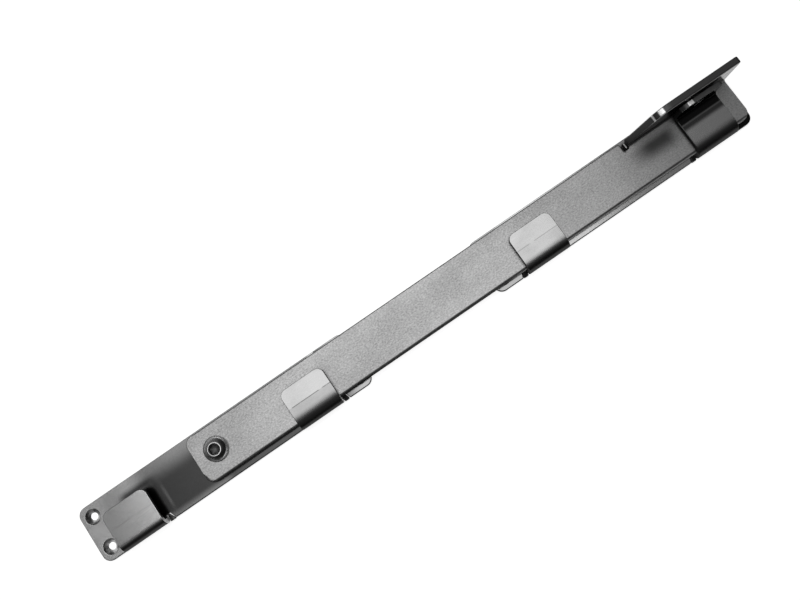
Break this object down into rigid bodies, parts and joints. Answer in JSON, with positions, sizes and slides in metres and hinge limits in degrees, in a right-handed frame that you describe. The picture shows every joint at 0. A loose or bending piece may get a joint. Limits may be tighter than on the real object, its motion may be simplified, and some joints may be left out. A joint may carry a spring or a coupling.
{
  "type": "padlockable swing bar door latch",
  "caption": "Steel swing bar latch for double doors: a flat bar pivots on one plate, drops into hooked plates and lines up two lugs for a padlock.",
  "frame": {"origin": "middle of the overall length and depth, on the back of the mounting plates", "axes": "+X along the bar from its pivot towards the padlock end, +Y to the open side of the hooks, +Z away from the doors"},
  "size_m": [0.641, 0.049, 0.0487],
  "materials": {
    "plate_steel": "satin",
    "bar_steel": "matte",
    "hardware_steel": "satin"
  },
  "bodies": {
    "base": {"pivot_plate": "plate_steel", "keeper_plate": "plate_steel", "pivot_bush": "hardware_steel", "spacer_washer": "hardware_steel", "pivot_screw": "hardware_steel"},
    "swing_bar": {"bar": "bar_steel"}
  },
  "joints": [
    {"name": "bar_pivot", "type": "hinge", "parent": "base", "child": "swing_bar", "pos_m": [-0.197, 0.00265, 0], "axis": [0, 0, 1], "range_deg": [0, 180]}
  ]
}
